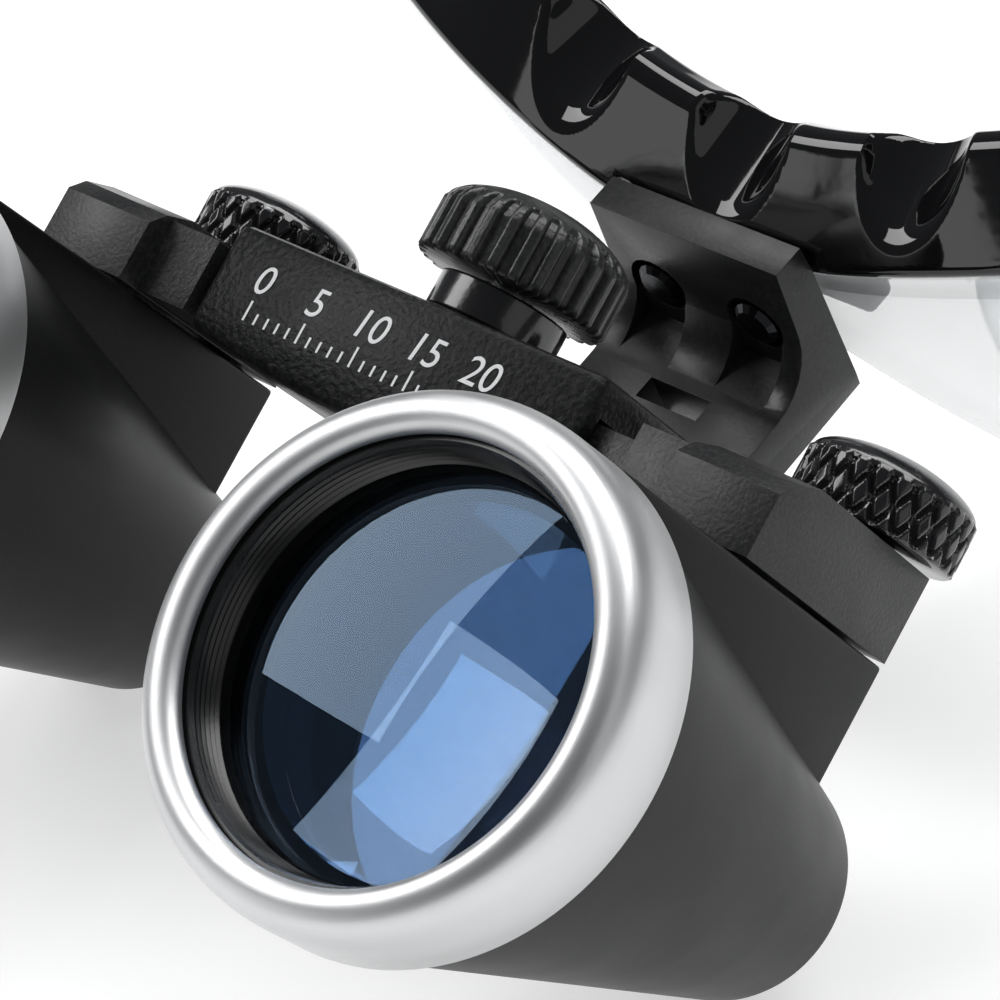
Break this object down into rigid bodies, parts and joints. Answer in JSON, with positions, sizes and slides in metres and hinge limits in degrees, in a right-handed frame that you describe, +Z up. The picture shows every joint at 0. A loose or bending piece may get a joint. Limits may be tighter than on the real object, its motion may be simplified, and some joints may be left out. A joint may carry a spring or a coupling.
{
  "type": "flip-up dental loupes on spectacles",
  "caption": "Flip-up dental loupes: tapered black telescopes with silver front rings on a rack-adjusted bar, hinged to black wrap-round spectacles with a clear shield lens.",
  "frame": {"origin": "centre of the bounding box's bottom face, on the bench the loupes rest on", "axes": "+X to the wearer's left, +Y back along the temples, +Z up from the bench"},
  "size_m": [0.134, 0.2087, 0.0797],
  "materials": {
    "satin_black": "fine satin, moulded or painted",
    "grained_black": "coarse spark-eroded grain",
    "gloss_black": "polished",
    "satin_aluminium": "polished rolled lip, fine-blasted side",
    "steel": "turned",
    "blackened_steel": "black oxide",
    "coated_glass": "blue anti-reflection coating",
    "clear_polycarbonate": "clear, polished",
    "soft_rubber": "soft matte",
    "silicone": "translucent, soft"
  },
  "bodies": {
    "spectacles": {"brow_frame": "gloss_black", "shield_lens": "clear_polycarbonate", "nose_bridge": "satin_black", "nose_wire_left": "steel", "nose_wire_right": "steel", "nose_pad_left": "silicone", "nose_pad_right": "silicone", "bridge_bracket": "satin_black", "bracket_screw_left": "blackened_steel", "bracket_screw_right": "blackened_steel", "flip_pin": "steel", "temple_screw_left": "steel", "temple_screw_right": "steel"},
    "carrier": {"bar_housing": "grained_black", "knob_bushing": "satin_black"},
    "adjuster": {"adjuster_knob": "grained_black", "pinion_shaft": "steel"},
    "slide_left": {"slide_arm_left": "grained_black"},
    "scope_left": {"barrel_left": "satin_black", "bezel_left": "satin_aluminium", "retainer_left": "satin_black", "objective_left": "coated_glass", "eye_ring_left": "soft_rubber", "eyepiece_left": "coated_glass"},
    "screw_left": {"thumb_screw_left": "gloss_black"},
    "temple_left": {"temple_left": "gloss_black", "temple_tip_left": "soft_rubber"},
    "slide_right": {"slide_arm_right": "grained_black"},
    "scope_right": {"barrel_right": "satin_black", "bezel_right": "satin_aluminium", "retainer_right": "satin_black", "objective_right": "coated_glass", "eye_ring_right": "soft_rubber", "eyepiece_right": "coated_glass"},
    "screw_right": {"thumb_screw_right": "gloss_black"},
    "temple_right": {"temple_right": "gloss_black", "temple_tip_right": "soft_rubber"}
  },
  "joints": [
    {"name": "flip_hinge", "type": "hinge", "parent": "spectacles", "child": "carrier", "pos_m": [0, -0.04114, 0.01317], "axis": [1, 0, 0], "range_deg": [0, 90]},
    {"name": "pd_knob", "type": "hinge", "parent": "carrier", "child": "adjuster", "pos_m": [0, -0.05507, 0.03096], "axis": [0, 0.7593, 0.6508], "range_deg": [-10.2, 120]},
    {"name": "pd_slide_left", "type": "slide", "parent": "carrier", "child": "slide_left", "axis": [1, 0, 0], "range_m": [-0.00045, 0.00535]},
    {"name": "convergence_left", "type": "hinge", "parent": "slide_left", "child": "scope_left", "pos_m": [0.028, -0.04896, 0.02383], "axis": [0, 0.7593, 0.6508], "range_deg": [-5, 5]},
    {"name": "screw_turn_left", "type": "hinge", "parent": "slide_left", "child": "screw_left", "pos_m": [0.028, -0.04896, 0.02383], "axis": [0, 0.7593, 0.6508], "range_deg": [0, 180]},
    {"name": "temple_fold_left", "type": "hinge", "parent": "spectacles", "child": "temple_left", "pos_m": [0.0646, 0.00038, 0.04794], "axis": [0, -0.3518, 0.9361], "range_deg": [0, 88]},
    {"name": "pd_slide_right", "type": "slide", "parent": "carrier", "child": "slide_right", "axis": [-1, 0, 0], "range_m": [-0.0005, 0.0055]},
    {"name": "convergence_right", "type": "hinge", "parent": "slide_right", "child": "scope_right", "pos_m": [-0.028, -0.04896, 0.02383], "axis": [0, 0.7593, 0.6508], "range_deg": [-5, 5]},
    {"name": "screw_turn_right", "type": "hinge", "parent": "slide_right", "child": "screw_right", "pos_m": [-0.028, -0.04896, 0.02383], "axis": [0, 0.7593, 0.6508], "range_deg": [0, 180]},
    {"name": "temple_fold_right", "type": "hinge", "parent": "spectacles", "child": "temple_right", "pos_m": [-0.0646, 0.00038, 0.04794], "axis": [0, 0.3518, -0.9361], "range_deg": [0, 76]}
  ],
  "couplings": [
    {"joint": "pd_knob", "follows": "pd_slide_left", "rad_per_m": 389.11},
    {"joint": "pd_slide_right", "follows": "pd_slide_left", "ratio": 1}
  ]
}
